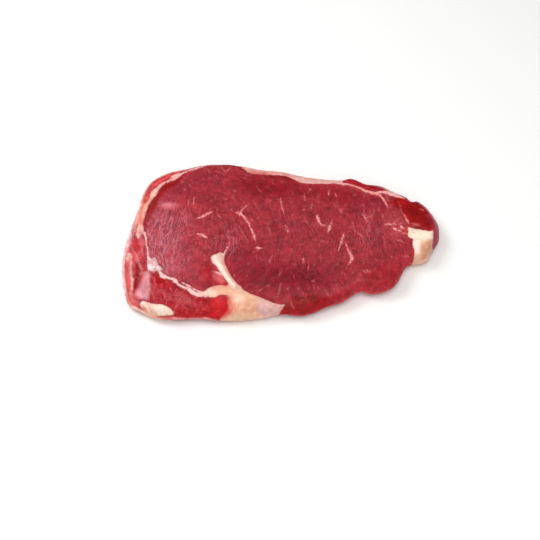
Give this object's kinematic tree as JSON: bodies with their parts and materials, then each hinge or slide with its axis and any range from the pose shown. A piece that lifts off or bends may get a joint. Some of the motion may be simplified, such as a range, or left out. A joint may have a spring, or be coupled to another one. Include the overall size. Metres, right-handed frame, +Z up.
{
  "type": "raw beef steak",
  "caption": "Raw beef steak lying flat: one slice of red lean meat with a fat wedge at its front edge, a fat block at one end and a fat spot at a corner.",
  "frame": {"origin": "middle of the steak's length and width, on the flat lower cut face that it rests on", "axes": "+X along the steak, from the broad round end to the narrow end; +Y from the front edge with the fat wedge to the back edge; +Z up through the thickness"},
  "size_m": [0.22, 0.131, 0.0155],
  "materials": {
    "lean": "moist raw lean beef",
    "fat": "dull cream beef fat"
  },
  "bodies": {
    "root": {"lean": "lean", "fat_wedge": "fat", "fat_block": "fat", "fat_corner": "fat"}
  },
  "joints": []
}
